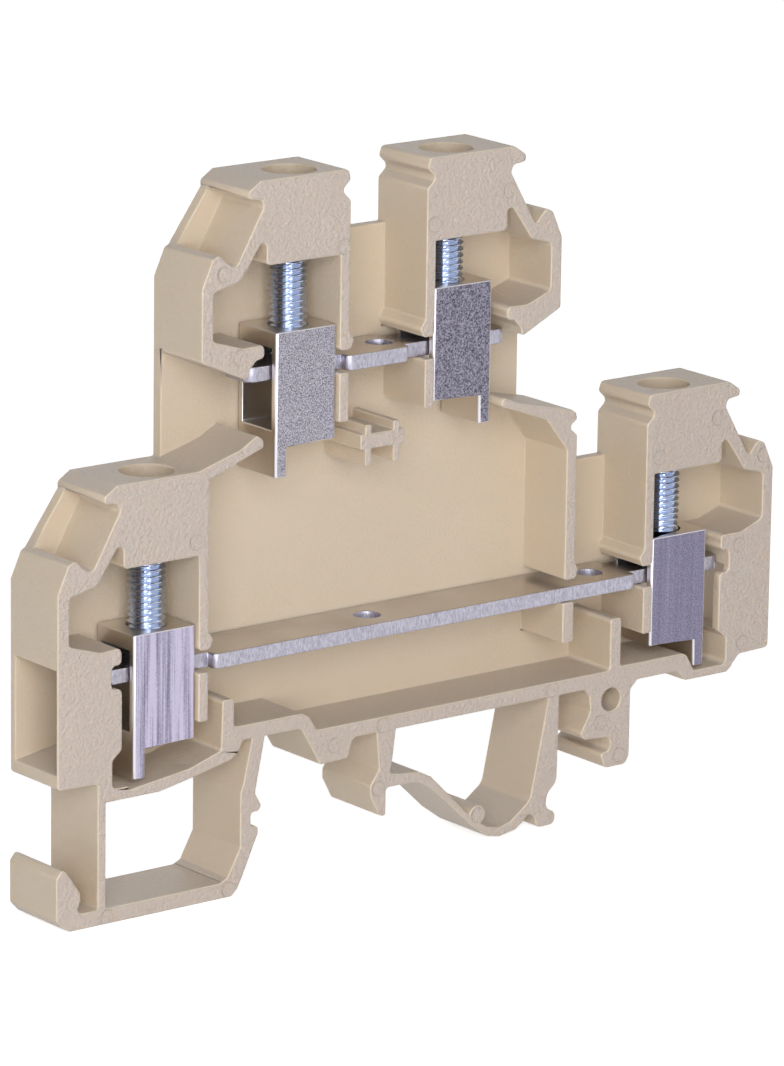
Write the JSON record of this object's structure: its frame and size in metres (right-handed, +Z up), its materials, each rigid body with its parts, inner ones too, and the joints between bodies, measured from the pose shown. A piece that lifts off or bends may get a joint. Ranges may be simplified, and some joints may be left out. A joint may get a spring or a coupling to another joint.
{
  "type": "double level terminal block",
  "caption": "Rail-mounted feed-through terminal block with two wiring levels, rising cage screw clamps and current bars, open on one side.",
  "frame": {"origin": "centre line of the 35 mm rail, level with the top of its lips, halfway through the block's thickness", "axes": "+X along the block towards its right end, +Y through its thickness towards the closed back, +Z up away from the rail"},
  "size_m": [0.07, 0.0062, 0.0551],
  "materials": {
    "polyamide": "matte beige moulding",
    "cage_steel": "plated and slightly grainy",
    "screw_steel": "bright blue-white zinc plating",
    "bar_metal": "tin plated, with sheared edges"
  },
  "bodies": {
    "block": {"housing": "polyamide", "upper_bar": "bar_metal", "lower_bar": "bar_metal"},
    "screw_upper_left": {"screw_upper_left": "screw_steel"},
    "cage_upper_left": {"cage_upper_left": "cage_steel"},
    "screw_upper_right": {"screw_upper_right": "screw_steel"},
    "cage_upper_right": {"cage_upper_right": "cage_steel"},
    "screw_lower_left": {"screw_lower_left": "screw_steel"},
    "cage_lower_left": {"cage_lower_left": "cage_steel"},
    "screw_lower_right": {"screw_lower_right": "screw_steel"},
    "cage_lower_right": {"cage_lower_right": "cage_steel"}
  },
  "joints": [
    {"name": "screw_upper_left_turn", "type": "hinge", "parent": "block", "child": "screw_upper_left", "pos_m": [-0.0127, -0.0004, 0.0448], "axis": [0, 0, -1], "range_deg": [0, 2592]},
    {"name": "cage_upper_left_rise", "type": "slide", "parent": "block", "child": "cage_upper_left", "axis": [0, 0, 1], "range_m": [0, 0.0036]},
    {"name": "screw_upper_right_turn", "type": "hinge", "parent": "block", "child": "screw_upper_right", "pos_m": [0.0023, -0.0004, 0.0448], "axis": [0, 0, -1], "range_deg": [-1152, 1440]},
    {"name": "cage_upper_right_rise", "type": "slide", "parent": "block", "child": "cage_upper_right", "axis": [0, 0, 1], "range_m": [-0.0016, 0.002]},
    {"name": "screw_lower_left_turn", "type": "hinge", "parent": "block", "child": "screw_lower_left", "pos_m": [-0.0257, -0.0004, 0.0234], "axis": [0, 0, -1], "range_deg": [0, 2592]},
    {"name": "cage_lower_left_rise", "type": "slide", "parent": "block", "child": "cage_lower_left", "axis": [0, 0, 1], "range_m": [0, 0.0036]},
    {"name": "screw_lower_right_turn", "type": "hinge", "parent": "block", "child": "screw_lower_right", "pos_m": [0.0247, -0.0004, 0.0234], "axis": [0, 0, -1], "range_deg": [0, 2592]},
    {"name": "cage_lower_right_rise", "type": "slide", "parent": "block", "child": "cage_lower_right", "axis": [0, 0, 1], "range_m": [0, 0.0036]}
  ],
  "couplings": [
    {"joint": "screw_upper_left_turn", "follows": "cage_upper_left_rise", "rad_per_m": 12566},
    {"joint": "screw_upper_right_turn", "follows": "cage_upper_right_rise", "rad_per_m": 12566},
    {"joint": "screw_lower_left_turn", "follows": "cage_lower_left_rise", "rad_per_m": 12566},
    {"joint": "screw_lower_right_turn", "follows": "cage_lower_right_rise", "rad_per_m": 12566}
  ]
}
